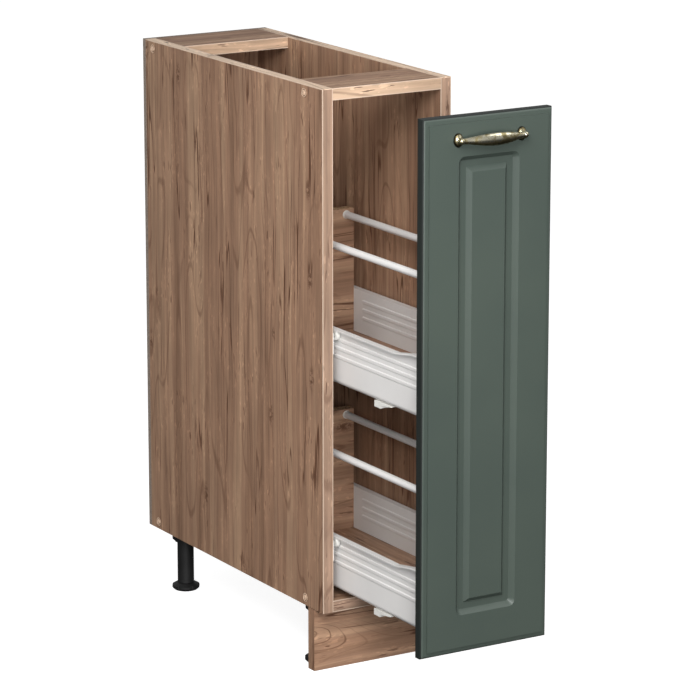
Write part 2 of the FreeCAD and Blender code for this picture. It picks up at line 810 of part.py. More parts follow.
for level_name, level in LEVELS.items():
    low = level + base_low + z.sheet
    board_pilots = []
    back_pilot_rods = []
    for side_name, side in SIDES.items():
        tag = "%s_%s" % (level_name, side_name)
        outward = "+x" if side > 0 else "-x"
        inward = "-x" if side > 0 else "+x"
        drawer_side(tag, side, level)
        # fixings through the side into the boards
        for number, y in enumerate(base_screw_y):
            name = "base_screw_%s_%d" % (tag, number)
            at = (side * base_screw_x, drawer_y + y, level + base_low)
            drawer_screws.append(screw(name, at, "+z", 3.2, 1.8, 1.6, 13))
            board_pilots.append(rod(name + "_pilot", at, "+z", 1.7, 14))
        for number, level_z in enumerate(back_screw_z):
            name = "back_fixing_%s_%d" % (tag, number)
            at = (side * web_out, drawer_y + back_mid, level + level_z)
            drawer_screws.append(screw(name, at, inward, 3.2, 1.8, 1.6, 13))
            back_pilot_rods.append(rod(name + "_pilot", at, inward, 1.7, 14))
        for number, level_z in enumerate(bracket_screw_z):
            name = "bracket_screw_%s_%d" % (tag, number)
            at = (side * bracket_screw_x, drawer_y + 1.5, level + level_z)
            drawer_screws.append(screw(name, at, "-y", 3.2, 1.8, 1.6, 13))
        # bracket between side and front
        arm = box(
            "bracket_arm_" + tag,
            span(side, web_in - 1.5, web_in),
            (drawer_y, drawer_y + 42),
            (level - 56, level - 8),
        )
        foot = box(
            "bracket_foot_" + tag,
            span(side, web_in - 24, web_in),
            (drawer_y, drawer_y + 1.5),
            (level - 56, level - 8),
        )
        angle = fuse("bracket_angle_" + tag, [arm, foot])
        holes = [
            rod(
                "bracket_hole_%s_%d" % (tag, number),
                (side * bracket_screw_x, drawer_y, level + level_z),
                "+y",
                1.8,
                1.5,
            )
            for number, level_z in enumerate(bracket_screw_z)
        ]
        brackets.append(cut("bracket_" + tag, angle, holes))
        # clip under the side
        clip = new_body("base_clip_" + tag)
        start = span(side, web_out - 13, web_out - 1)[0]
        outline = [
            (clip_y - 21, -1.5),
            (clip_y + 4, -4.5),
            (clip_y + 5, -8.5),
            (clip_y + 20, -8.5),
            (clip_y + 20, 0),
            (clip_y - 21, 0),
        ]
        feature(clip, "Pad", draw(clip, "YZ_Plane", start, [outline]), 12)
        peg = draw(clip, "XY_Plane", -1, [[(side * base_screw_x, clip_y, 1.9)]])
        feature(clip, "Pad", peg, 7)
        base_clips.append(place(clip, (0, drawer_y, level + base_low)))
        at = (side * base_screw_x, drawer_y + clip_y, level + base_low)
        board_pilots.append(rod("clip_pilot_" + tag, at, "+z", 2.0, 6.5))
        # rear roller on its pin
        wheel = turned("rear_roller_" + tag, roller_profile(z.rear_roller_radius))
        middle = web_out + 1.7 + z.roller_width / 2
        at = (side * middle, drawer_y + rear_roller_y, level + rear_roller_z)
        node("rear_roller_" + tag, place(wheel, at))
        pin_profile = [
            (-z.sheet, 0),
            (-z.sheet, z.pin_radius - 0.05),
            (0, z.pin_radius - 0.05),
            (0, 3.2),
            (1.5, 3.2),
            (1.5, z.pin_radius),
            (1.9 + z.roller_width, z.pin_radius),
            (1.9 + z.roller_width, 3.2),
            (2.7 + z.roller_width, 3.2),
            (2.7 + z.roller_width, 0),
        ]
        at = (side * web_out, drawer_y + rear_roller_y, level + rear_roller_z)
        rear_pins.append(place(turned("rear_pin_" + tag, pin_profile), at, outward))
        # gallery rail between front and back
        rail_x = side * rail_offset
        rail_z = level + z.rail_lift
        length = back_front - 4
        spigot_radius = z.rail_radius - 1.1
        rail_profile = [
            (0, z.rail_radius - 1),
            (0, z.rail_radius),
            (length, z.rail_radius),
            (length, z.rail_radius - 1),
        ]
        rail = turned("gallery_rail_" + tag, rail_profile)
        node("gallery_rail_" + tag, place(rail, (rail_x, drawer_y + 2, rail_z), "+y"))
        for kind, depth, facing, y, holder in (
            ("rail_socket_", 14, "+y", drawer_y, rail_sockets),
            ("rail_cap_", 8, "-y", drawer_y + back_front, rail_caps),
        ):
            holder_profile = [
                (-8, 0),
                (-8, 3),
                (0, 3),
                (0, z.rail_radius + 0.9),
                (1.4, z.rail_radius + 0.9),
                (2, z.rail_radius + 0.3),
                (2, spigot_radius),
                (depth - 1, spigot_radius),
                (depth, spigot_radius - 1),
                (depth, 0),
            ]
            holder.append(place(turned(kind + tag, holder_profile), (rail_x, y, rail_z), facing))
        at = (rail_x, drawer_y + back_front, rail_z)
        back_pilot_rods.append(rod("rail_cap_hole_" + tag, at, "+y", 3.1, 8.5))
    # bottom board, its lower long edges eased to clear the folded sides
    base = new_body("bottom_board_" + level_name)
    wide = web_in - 0.3
    outline = [
        (-wide + 7, 0),
        (wide - 7, 0),
        (wide, 7),
        (wide, z.board),
        (-wide, z.board),
        (-wide, 7),
    ]
    feature(base, "Pad", draw(base, "XZ_Plane", -drawer_length, [outline]), drawer_length)
    place(base, (0, drawer_y, low))
    label = "drawer_bottom_" + level_name
    node(label, cut(label + "_drilled", base, board_pilots))
    label = "drawer_back_" + level_name
    blank = box(
        label + "_blank",
        (-web_in, web_in),
        (drawer_y + back_front, drawer_y + drawer_length),
        (level + base_top, level + z.back_rise),
    )
    node(label, cut(label, blank, back_pilot_rods))
node("rear_roller_pins", group("rear_roller_pins", rear_pins))
node("rail_sockets", group("rail_sockets", rail_sockets))
node("rail_caps", group("rail_caps", rail_caps))
node("front_brackets", group("front_brackets", brackets))
node("base_clips", group("base_clips", base_clips))
node("drawer_screws", group("drawer_screws", drawer_screws))

# Front with a milled edge and a raised field
front = new_body("front_panel")
wide = front_width / 2
tall = front_height
front_bottom = floor_z + z.front_lift
slab = rectangle(-wide, wide, 0, tall)
feature(front, "Pad", draw(front, "XZ_Plane", 0, [slab]), z.front_thick)


def edge_cutter(edge, sign, swap):
    """The profile milled off an edge at edge, material towards -sign."""
    inside = edge - sign * z.edge_step
    outside = edge + sign * 2.0
    shoulder = z.front_thick - z.step_drop
    points = [
        (outside, -shoulder + z.edge_round, None),
        (edge, -shoulder + z.edge_round, z.edge_round),
        (edge - sign * z.edge_round, -shoulder, None),
        (inside, -shoulder, None),
        (inside, -z.front_thick - 2, None),
        (outside, -z.front_thick - 2, None),
    ]
    loop = []
    for across, depth, radius in points:
        turn = None if radius is None else (radius, -sign if swap else sign)
        loop.append((depth, across, turn) if swap else (across, depth, turn))
    return loop


upright_edges = [edge_cutter(wide, 1, False), edge_cutter(-wide, -1, False)]
level_edges = [edge_cutter(tall, 1, True), edge_cutter(dim(0), -1, True)]
feature(front, "Pocket", draw(front, "XY_Plane", tall + 1, upright_edges), tall + 2)
feature(front, "Pocket", draw(front, "YZ_Plane", wide + 1, level_edges), front_width + 2)


def rounded(x, low, high, radius):
    """A rectangle about the middle line with rounded corners."""
    return [
        (-x + radius, low),
        (x - radius, low, (radius, -1)),
        (x, low + radius),
        (x, high - radius, (radius, -1)),
        (x - radius, high),
        (-x + radius, high, (radius, -1)),
        (-x, high - radius),
        (-x, low + radius, (radius, -1)),
    ]


groove_x = wide - z.frame_margin
groove = rounded(groove_x, z.frame_margin, tall - z.frame_margin, z.groove_corner)
slope_taper = "-atan(sizes.slope_width / sizes.groove_depth) / 1 deg"
groove_sketch = draw(front, "XZ_Plane", z.front_thick, [groove])
feature(front, "Pocket", groove_sketch, z.groove_depth, taper=slope_taper)
field_inset = z.slope_width + z.groove_floor
field = rectangle(
    -groove_x + field_inset,
    groove_x - field_inset,
    z.frame_margin + field_inset,
    tall - z.frame_margin - field_inset,
)
field_height = z.groove_depth - 1
bevel_taper = "-atan(sizes.field_bevel / (sizes.groove_depth - 1)) / 1 deg"
field_sketch = draw(front, "XZ_Plane", z.front_thick - z.groove_depth, [field])
feature(front, "Pad", field_sketch, field_height, taper=bevel_taper)
handle_z = front_height - z.handle_drop
handle_x = z.handle_spacing / 2
through = [[(side * handle_x, handle_z, 2.1)] for side in (-1, 1)]
feature(front, "Pocket", draw(front, "XZ_Plane", z.front_thick + 1, through), z.front_thick + 2)
blind = []
pegs = []
for level in LEVELS.values():
    for side in (-1, 1):
        local = level - front_bottom
        for level_z in bracket_screw_z:
            blind.append([(side * bracket_screw_x, local + level_z, 1.7)])
        pegs.append([(side * rail_offset, local + z.rail_lift, 3.1)])
feature(front, "Pocket", draw(front, "XZ_Plane", 0, blind), 12.5, back=True)
feature(front, "Pocket", draw(front, "XZ_Plane", 0, pegs), 8.5, back=True)
node("front_panel", place(front, (0, drawer_y, front_bottom)))

# Bow handle on two rosettes, held by screws through the front
face_y = drawer_y - z.front_thick
grip_z = front_bottom + handle_z


def oval(name, point, facing, major, minor):
    item = doc.addObject("Part::Ellipse", name)
    bind(item, "MajorRadius", major)
    bind(item, "MinorRadius", minor)
    lift = FreeCAD.Rotation(FreeCAD.Vector(0, 1, 0), 90)
    axis, angle = TURNS[facing]
    turn = FreeCAD.Rotation(FreeCAD.Vector(*axis), angle).multiply(lift)
    item.Placement = FreeCAD.Placement(FreeCAD.Vector(0, 0, 0), turn)
    return locate(item, point)


def loft(name, sections, ruled):
    item = doc.addObject("Part::Loft", name)
    item.Sections = sections
    item.Solid = True
    item.Ruled = ruled
    return item


grip_sections = []
for number, (share, reach, major, minor) in enumerate(
    (
        (-1.0, 0.58, 3.6, 3.4),
        (-0.72, 0.72, 5.0, 3.8),
        (-0.38, 0.92, 7.2, 4.4),
        (0.0, 1.0, 8.2, z.grip_thick / 2),
        (0.38, 0.92, 7.2, 4.4),
        (0.72, 0.72, 5.0, 3.8),
        (1.0, 0.58, 3.6, 3.4),
    )
):
    at = (handle_x * share, face_y - z.handle_reach * reach, grip_z)
    grip_sections.append(oval("grip_section_%d" % number, at, "+x", major, minor))
handle_parts = [loft("grip", grip_sections, False)]
handle_bores = []
handle_screws = []
for side_name, side in SIDES.items():
    x = side * handle_x
    rosette = []
    for number, (out, major, minor) in enumerate(
        ((0.0, 9.0, 6.6), (2.2, 9.0, 6.6), (4.2, 7.2, 5.2), (5.2, 4.6, 3.8), (10.5, 3.8, 3.6))
    ):
        name = "rosette_%s_%d" % (side_name, number)
        rosette.append(oval(name, (x, face_y - out, grip_z), "-y", major, minor))
    handle_parts.append(loft("rosette_" + side_name, rosette, True))
    ball = doc.addObject("Part::Sphere", "handle_ball_" + side_name)
    bind(ball, "Radius", 4.4)
    handle_parts.append(locate(ball, (x, face_y - z.handle_reach * 0.58, grip_z)))
    handle_bores.append(rod("handle_bore_" + side_name, (x, face_y, grip_z), "-y", 2.05, 6.5))
    at = (x, drawer_y, grip_z)
    handle_screws.append(screw("handle_screw_" + side_name, at, "-y", 4.0, 2.5, 2.0, 22))
grip_whole = fuse("handle_whole", handle_parts)
node("handle", cut("handle", grip_whole, handle_bores))
node("handle_screws", group("handle_screws", handle_screws))

doc.recompute()

# Every piece must be sound before it is written
faults = []
for item in doc.Objects:
    if "Invalid" in item.State or "Error" in item.State:
        faults.append("%s: %s" % (item.Name, item.State))
for name, item in nodes.items():
    if item.Shape.isNull() or not item.Shape.isValid() or not item.Shape.Solids:
        faults.append("%s: bad shape" % name)
if faults:
    raise RuntimeError("\n".join(faults))
os.makedirs("parts", exist_ok=True)
for name, item in nodes.items():
    item.Shape.exportStep("parts/%s.step" % name)
    print("%-28s %d solids %12.1f mm3" % (name, len(item.Shape.Solids), item.Shape.Volume))
print(len(nodes), "nodes")
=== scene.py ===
"""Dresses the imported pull-out base cabinet and sets it in a plain studio."""

import logging
import math
from dataclasses import dataclass
from enum import Enum
from typing import Callable, Iterable, Optional, Sequence, Union

import bmesh
import bpy
from mathutils import Matrix, Vector


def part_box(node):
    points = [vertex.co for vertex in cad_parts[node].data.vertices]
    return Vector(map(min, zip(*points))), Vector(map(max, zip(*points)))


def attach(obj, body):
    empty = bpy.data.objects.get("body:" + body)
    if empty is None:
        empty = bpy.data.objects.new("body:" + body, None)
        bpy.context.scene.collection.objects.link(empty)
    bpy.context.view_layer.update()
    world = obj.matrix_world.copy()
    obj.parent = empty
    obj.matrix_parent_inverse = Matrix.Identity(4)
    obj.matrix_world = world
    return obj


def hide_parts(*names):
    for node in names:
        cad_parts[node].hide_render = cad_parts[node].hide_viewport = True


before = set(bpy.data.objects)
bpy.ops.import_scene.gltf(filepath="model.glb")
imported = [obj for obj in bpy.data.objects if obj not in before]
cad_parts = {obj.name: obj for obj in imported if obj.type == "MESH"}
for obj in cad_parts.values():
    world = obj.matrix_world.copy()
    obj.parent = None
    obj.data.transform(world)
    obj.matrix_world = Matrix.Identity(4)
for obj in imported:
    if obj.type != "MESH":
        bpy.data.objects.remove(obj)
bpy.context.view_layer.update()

MM = 0.001
LOG = logging.getLogger("cabinet")
Value = Union[bpy.types.NodeSocket, float, str, Sequence[float]]
Pick = Callable[[bpy.types.MeshPolygon], int]
Place = tuple[float, float, float]
SIDES = ("left", "right")
LEVELS = ("upper", "lower")
ENDS = ("front", "rear")
# a range of values and the range that it is turned into
RANGE = ("From Min", "From Max", "To Min", "To Max")
# sockets of a colour mix: its share, its two colours and its result
SHARE, UNDER, OVER, MIXED = 0, 6, 7, 2
# a face of a board has at least this share of its normal along the board's thin axis
FACING = 0.5
# fasteners are welded at a micrometre, and the rim is the outer twentieth of a head
WELD = 0.001 * MM
RIM_SHARE = 0.95


class Axis(Enum):
    """An axis of the shared frame."""

    X = 0
    Y = 1
    Z = 2


class Run(Enum):
    """Where an edge band runs, and its slot on the bands' node."""

    STRETCHER = 0
    TOPS = 1
    UPRIGHTS = 2
    BOTTOM = 3


class FrontSlot(Enum):
    """The slots of the front: its milled face, its rim with the narrow edges, and its back."""

    FACE = 0
    RIM = 1
    BACK = 2


def third(first: Axis, second: Axis) -> int:
    """Gives the number of the axis that is neither of two axes."""
    return sum(axis.value for axis in Axis) - first.value - second.value


def linear(code: str) -> tuple[float, float, float, float]:
    """Turns an sRGB hex value to linear colour.

    Args:
        code: Six hex digits, with or without a leading hash.

    Returns:
        Linear red, green and blue, and an alpha of 1.
    """
    code = code.lstrip("#")
    shares = [int(code[at : at + 2], 16) / 255 for at in (0, 2, 4)]
    red, green, blue = (
        share / 12.92 if share <= 0.04045 else ((share + 0.055) / 1.055) ** 2.4 for share in shares
    )
    return red, green, blue, 1.0


def add(
    tree: bpy.types.NodeTree,
    kind: str,
    inputs: Optional[dict[Union[int, str], Value]] = None,
    stops: Iterable[tuple[float, str]] = (),
    **settings: object,
) -> bpy.types.Node:
    """Adds a node with its settings and links.

    Args:
        tree: The node tree of a material or of the sky.
        kind: The node's type, without its ShaderNode prefix.
        inputs: Values, sRGB hex colours or output sockets, by input name or number.
        stops: Colour ramp stops as a place and an sRGB hex colour, the two end ones first.
        settings: Properties of the node.

    Returns:
        The new node.
    """
    node = tree.nodes.new("ShaderNode" + kind)
    for name, value in settings.items():
        setattr(node, name, value)
    for key, value in (inputs or {}).items():
        if isinstance(value, bpy.types.NodeSocket):
            tree.links.new(value, node.inputs[key])
        else:
            node.inputs[key].default_value = linear(value) if isinstance(value, str) else value
    for number, (place, code) in enumerate(stops):
        ramp = node.color_ramp.elements
        stop = ramp[number] if number < 2 else ramp.new(place)
        stop.position, stop.color = place, linear(code)
    return node


@dataclass(frozen=True)
class Finish:
    """A surface finish, built once as a material."""

    name: str

    def sockets(self, tree: bpy.types.NodeTree) -> dict[str, Value]:
        """Gives the shader's inputs, linked to the nodes of this finish."""
        raise NotImplementedError

    def material(self) -> bpy.types.Material:
        """Builds the material, or finds it if it is built already.

        Returns:
            The material of this finish.
        """
        made = bpy.data.materials.get(self.name)
        if made is None:
            made = bpy.data.materials.new(self.name)
            made.use_nodes = True
            made.node_tree.nodes.clear()
            shader = add(made.node_tree, "BsdfPrincipled", self.sockets(made.node_tree))
            add(made.node_tree, "OutputMaterial", {"Surface": shader.outputs[0]})
        return made


@dataclass(frozen=True)
class OakDecor(Finish):
    """Oak-look melamine paper pressed on chipboard.

    It looks satin, with printed fibres, growth rings, cracks and knots. Lengths are in millimetres.
    """

    along: Axis = Axis.Z
    across: Axis = Axis.Y
    seed: float = 0.0
    pale: str = "#AF8D72"
    middle: str = "#9D7A62"
    deep: str = "#8E6D56"
    crack: str = "#5A3824"
    rings: float = 0.4
    turns: float = 8.0
    scratch: float = 0.7
    # painted highlight: a pale line along each of the borders, where an arris catches the light
    borders: tuple[float, ...] = ()
    highlight_tone: str = "#E2CBB6"
    highlight_span: tuple[float, float] = (0.5, 1.6)
    highlight_share: float = 0.75
    stride: Place = (173.0, 61.0, 311.0)
    knot_cell: tuple[float, float] = (95.0, 240.0)
    knot_half: tuple[float, float] = (8.0, 20.0)
    sway: float = 9.0
    sway_span: Place = (80.0, 80.0, 280.0)

    def sockets(self, tree: bpy.types.NodeTree) -> dict[str, Value]:
        """Lays bands, fibres, rings, cracks and knots along the grain.

        Args:
            tree: The material's node tree.

        Returns:
            The shader's inputs.
        """
        # millimetres, turned so that x runs across the grain and z along it
        place = add(tree, "TexCoord").outputs["Object"]
        to_mm = {0: place, "Scale": 1 / MM}
        scaled = add(tree, "VectorMath", to_mm, operation="SCALE").outputs[0]
        shift = tuple(self.seed * step for step in self.stride)
        moved = add(tree, "VectorMath", {0: scaled, 1: shift}, operation="ADD").outputs[0]
        parts = add(tree, "SeparateXYZ", {0: moved}).outputs
        order = (self.across.value, third(self.along, self.across), self.along.value)
        turned = {number: parts[axis] for number, axis in enumerate(order)}
        grain = add(tree, "CombineXYZ", turned).outputs[0]

        # knots sit in two fifths of the cells
        cell_wide, cell_long = self.knot_cell
        half_wide, half_long = self.knot_half
        cells = (1 / cell_wide, 0.0, 1 / cell_long)
        cell = add(tree, "VectorMath", {0: grain, 1: cells}, operation="MULTIPLY").outputs[0]
        knots = add(tree, "TexVoronoi", {"Vector": cell, "Scale": 1.0, "Randomness": 0.9}).outputs
        ends = {0: cell, 1: knots["Position"]}
        offset = add(tree, "VectorMath", ends, operation="SUBTRACT").outputs[0]
        halves = (cell_wide / half_wide, 0.0, cell_long / half_long)
        spread = add(tree, "VectorMath", {0: offset, 1: halves}, operation="MULTIPLY").outputs[0]
        reach = add(tree, "VectorMath", {0: spread}, operation="LENGTH").outputs["Value"]
        chance = add(tree, "SeparateColor", {0: knots["Color"]}).outputs[0]

        # the whole grain sways sideways in long waves
        waves = tuple(1 / length for length in self.sway_span)
        wave = add(tree, "VectorMath", {0: grain, 1: waves}, operation="MULTIPLY").outputs[0]
        bend = add(tree, "TexNoise", {"Vector": wave, "Scale": 1.0, "Detail": 2.0}).outputs["Fac"]
        swayed = {"Value": bend, "To Min": -self.sway, "To Max": self.sway}
        drift = add(tree, "CombineXYZ", {0: add(tree, "MapRange", swayed).outputs[0]}).outputs[0]
        warped = add(tree, "VectorMath", {0: grain, 1: drift}, operation="ADD").outputs[0]

        # width, length and detail of each layer's cells
        # real fibres and pores are 0.3 mm wide, drawn at 3 mm and more so that they show
        layers = {
            "bands": (warped, 21.0, 1100.0, 3.0),
            "streaks": (warped, 8.0, 300.0, 3.0),
            "fibres": (warped, 3.8, 130.0, 3.0),
            "contour": (warped, 62.0, 420.0, 1.0),
            "split": (warped, 24.0, 560.0, 2.0),
            "patches": (grain, 60.0, 190.0, 1.0),
            "clouds": (grain, 33.0, 90.0, 2.0),
            "pores": (warped, 3.2, 24.0, 1.0),
            "flecks": (warped, 3.5, 12.0, 1.0),
            "crumbs": (grain, 4.4, 6.0, 2.0),
        }
        field = {"reach": reach, "chance": chance}
        for name, (vector, wide, long, detail) in layers.items():
            cells = (1 / wide, 1 / wide, 1 / long)
            size = add(tree, "VectorMath", {0: vector, 1: cells}, operation="MULTIPLY").outputs[0]
            seen = {"Vector": size, "Scale": 1.0, "Detail": detail, "Roughness": 0.6}
            field[name] = add(tree, "TexNoise", seen).outputs["Fac"]

        # rings follow the levels of the contour layer, and cracks the middle level of the split one
        turns = {0: field["contour"], 1: self.turns}
        steps = add(tree, "Math", turns, operation="MULTIPLY").outputs[0]
        saw = add(tree, "Math", {0: steps}, operation="FRACT").outputs[0]
        for name, source in (("ring", saw), ("split", field["split"])):
            middle = add(tree, "Math", {0: source, 1: 0.5}, operation="SUBTRACT").outputs[0]
            field[name] = add(tree, "Math", {0: middle}, operation="ABSOLUTE").outputs[0]

        # each strength eases from one value to another while its field goes from low to high
        eases = {
            "streak_tone": ("streaks", 0.3, 0.7, 0.88, 1.1),
            "fibre_tone": ("fibres", 0.3, 0.7, 0.9, 1.09),
            "cloud_tone": ("clouds", 0.3, 0.7, 0.91, 1.08),
            "fleck_mark": ("flecks", 0.6, 0.68, 0.0, 0.36),
            "ring_line": ("ring", 0.02, 0.09, self.rings, 0.0),
            "crack_line": ("split", 0.004, 0.016, 0.9, 0.0),
            "crack_patch": ("patches", 0.49, 0.57, 0.0, 1.0),
            "ring_patch": ("patches", 0.54, 0.44, 0.35, 1.0),
            "pore_line": ("pores", 0.63, 0.7, 0.0, self.scratch),
            "pore_patch": ("clouds", 0.45, 0.64, 0.12, 1.0),
            "crumb_mark": ("crumbs", 0.44, 0.54, 0.0, 0.8),
            "knot_spot": ("reach", 0.2, 1.15, 1.0, 0.0),
            "knot_cell": ("chance", 0.58, 0.6, 0.0, 1.0),
        }
        for name, (source, *limits) in eases.items():
            seen = {"Value": field[source], **dict(zip(RANGE, limits))}
            field[name] = add(tree, "MapRange", seen, interpolation_type="SMOOTHSTEP").outputs[0]
        products = {
            "weave": ("streak_tone", "fibre_tone", "MULTIPLY"),
            "cloth": ("weave", "cloud_tone", "MULTIPLY"),
            "flecks": ("fleck_mark", "pore_patch", "MULTIPLY"),
            "tone": ("cloth", "flecks", "ADD"),
            "cracks": ("crack_line", "crack_patch", "MULTIPLY"),
            "arcs": ("ring_line", "ring_patch", "MULTIPLY"),
            "knot": ("knot_spot", "knot_cell", "MULTIPLY"),
            "marks": ("knot", "crumb_mark", "MULTIPLY"),
            "pores": ("pore_line", "pore_patch", "MULTIPLY"),
            "lines": ("cracks", "arcs", "MAXIMUM"),
            "spots": ("marks", "pores", "MAXIMUM"),
            "dark": ("lines", "spots", "MAXIMUM"),
            "height": ("fibre_tone", "dark", "SUBTRACT"),
        }
        for name, (first, second, operation) in products.items():
            pair = {0: field[first], 1: field[second]}
            field[name] = add(tree, "Math", pair, operation=operation).outputs[0]

        # the bands give the ground colour, which the fibres shade and the dark marks cover
        stops = [(0.36, self.deep), (0.64, self.pale), (0.5, self.middle)]
        ground = add(tree, "ValToRGB", {0: field["bands"]}, stops=stops).outputs[0]
        seen = {SHARE: 1.0, UNDER: ground, OVER: field["tone"]}
        shaded = add(tree, "Mix", seen, data_type="RGBA", blend_type="MULTIPLY").outputs[MIXED]
        seen = {SHARE: field["dark"], UNDER: shaded, OVER: self.crack}
        colour = add(tree, "Mix", seen, data_type="RGBA").outputs[MIXED]

        # painted highlight: an arris is drawn pale over 0.5 mm, fading out over 1.6 mm so that it
        # shows
        span = add(tree, "SeparateXYZ", {0: scaled}).outputs[self.across.value]
        level = add(tree, "Math", {0: span}, operation="ABSOLUTE").outputs[0]
        for border in self.borders:
            apart = add(tree, "Math", {0: level, 1: border}, operation="SUBTRACT").outputs[0]
            gap = add(tree, "Math", {0: apart}, operation="ABSOLUTE").outputs[0]
            limits = (*self.highlight_span, self.highlight_share, 0.0)
            highlit = add(tree, "MapRange", {"Value": gap, **dict(zip(RANGE, limits))}).outputs[0]
            seen = {SHARE: highlit, UNDER: colour, OVER: self.highlight_tone}
            colour = add(tree, "Mix", seen, data_type="RGBA").outputs[MIXED]

        # pale streaks are a little smoother than deep ones
        seen = {"Value": field["tone"], **dict(zip(RANGE, (0.75, 1.0, 0.6, 0.5)))}
        rough = add(tree, "MapRange", seen).outputs[0]
        relief = {"Height": field["height"], "Strength": 0.6, "Distance": 0.5 * MM}
        normal = add(tree, "Bump", relief).outputs[0]
        return {"Base Color": colour, "Roughness": rough, "IOR": 1.5, "Normal": normal}


@dataclass(frozen=True)
class ChipboardCore(Finish):
    """Raw sawn edge of chipboard or fibreboard: pressed flakes, dull and porous."""

    pale: str = "#C3A582"
    deep: str = "#8C6B4C"
    flake: float = 2.2

    def sockets(self, tree: bpy.types.NodeTree) -> dict[str, Value]:
        """Scatters flakes of the given size in millimetres.

        Args:
            tree: The material's node tree.

        Returns:
            The shader's inputs.
        """
        place = add(tree, "TexCoord").outputs["Object"]
        flakes = add(tree, "TexVoronoi", {"Vector": place, "Scale": 1 / (self.flake * MM)})
        grey = add(tree, "SeparateColor", {0: flakes.outputs["Color"]}).outputs[0]
        stops = [(0.1, self.deep), (0.9, self.pale)]
        colour = add(tree, "ValToRGB", {0: grey}, stops=stops).outputs[0]
        relief = {"Height": grey, "Strength": 0.5, "Distance": 0.3 * MM}
        normal = add(tree, "Bump", relief).outputs[0]
        return {"Base Color": colour, "Roughness": 0.86, "IOR": 1.5, "Normal": normal}


@dataclass(frozen=True)
class Moulded(Finish):
    """Coated or moulded surface of one colour: a faint cloud in the tone and a fine skin."""

    pale: str = "#FFFFFF"
    deep: str = "#F0F0F0"
    cloud: float = 60.0
    grit: float = 0.9
    relief: float = 0.02
    rough: float = 0.45
    sheen_spread: float = 0.05
    ior: float = 1.5
    glow: float = 0.0

    def sockets(self, tree: bpy.types.NodeTree) -> dict[str, Value]:
        """Clouds the tone over cloud millimetres and grains the skin at grit millimetres.

        Args:
            tree: The material's node tree.

        Returns:
            The shader's inputs.
        """
        place = add(tree, "TexCoord").outputs["Object"]
        seen = {"Vector": place, "Scale": 1 / (self.cloud * MM), "Detail": 3.0}
        cloud = add(tree, "TexNoise", seen).outputs["Fac"]
        stops = [(0.35, self.deep), (0.65, self.pale)]
        colour = add(tree, "ValToRGB", {0: cloud}, stops=stops).outputs[0]
        # a real skin's grain is 0.1 to 0.3 mm, drawn at 0.4 mm and more so that it shows
        seen = {"Vector": place, "Scale": 1 / (self.grit * MM), "Detail": 1.0}
        skin = add(tree, "TexNoise", seen).outputs["Fac"]
        relief = {"Height": skin, "Strength": 0.4, "Distance": self.relief * MM}
        sheen = (0.0, 1.0, self.rough - self.sheen_spread, self.rough + self.sheen_spread)
        rough = add(tree, "MapRange", {"Value": cloud, **dict(zip(RANGE, sheen))}).outputs[0]
        return {
            "Base Color": colour,
            "Roughness": rough,
            "IOR": self.ior,
            "Normal": add(tree, "Bump", relief).outputs[0],
            "Emission Color": "#FFFFFF",
            "Emission Strength": self.glow,
        }


@dataclass(frozen=True)
class ZincPlate(Finish):
    """Bright zinc plate on drawn steel: grey metal with a faint warm bloom."""

    bloom: float = 6.0
    streak: float = 1.5

    def sockets(self, tree: bpy.types.NodeTree) -> dict[str, Value]:
        """Blooms the colour and streaks the gloss, over the given millimetres.

        Args:
            tree: The material's node tree.

        Returns:
            The shader's inputs.
        """
        place = add(tree, "TexCoord").outputs["Object"]
        bloom, wear = (
            add(tree, "TexNoise", {"Vector": place, "Scale": 1 / (size * MM), "Detail": 2.0})
            for size in (self.bloom, self.streak)
        )
        stops = [(0.3, "#A9ABAC"), (0.7, "#D2CFC6")]
        colour = add(tree, "ValToRGB", {0: bloom.outputs["Fac"]}, stops=stops).outputs[0]
        gloss = {"Value": wear.outputs["Fac"], "To Min": 0.26, "To Max": 0.46}
        rough = add(tree, "MapRange", gloss).outputs[0]
        return {"Base Color": colour, "Metallic": 1.0, "Roughness": rough}


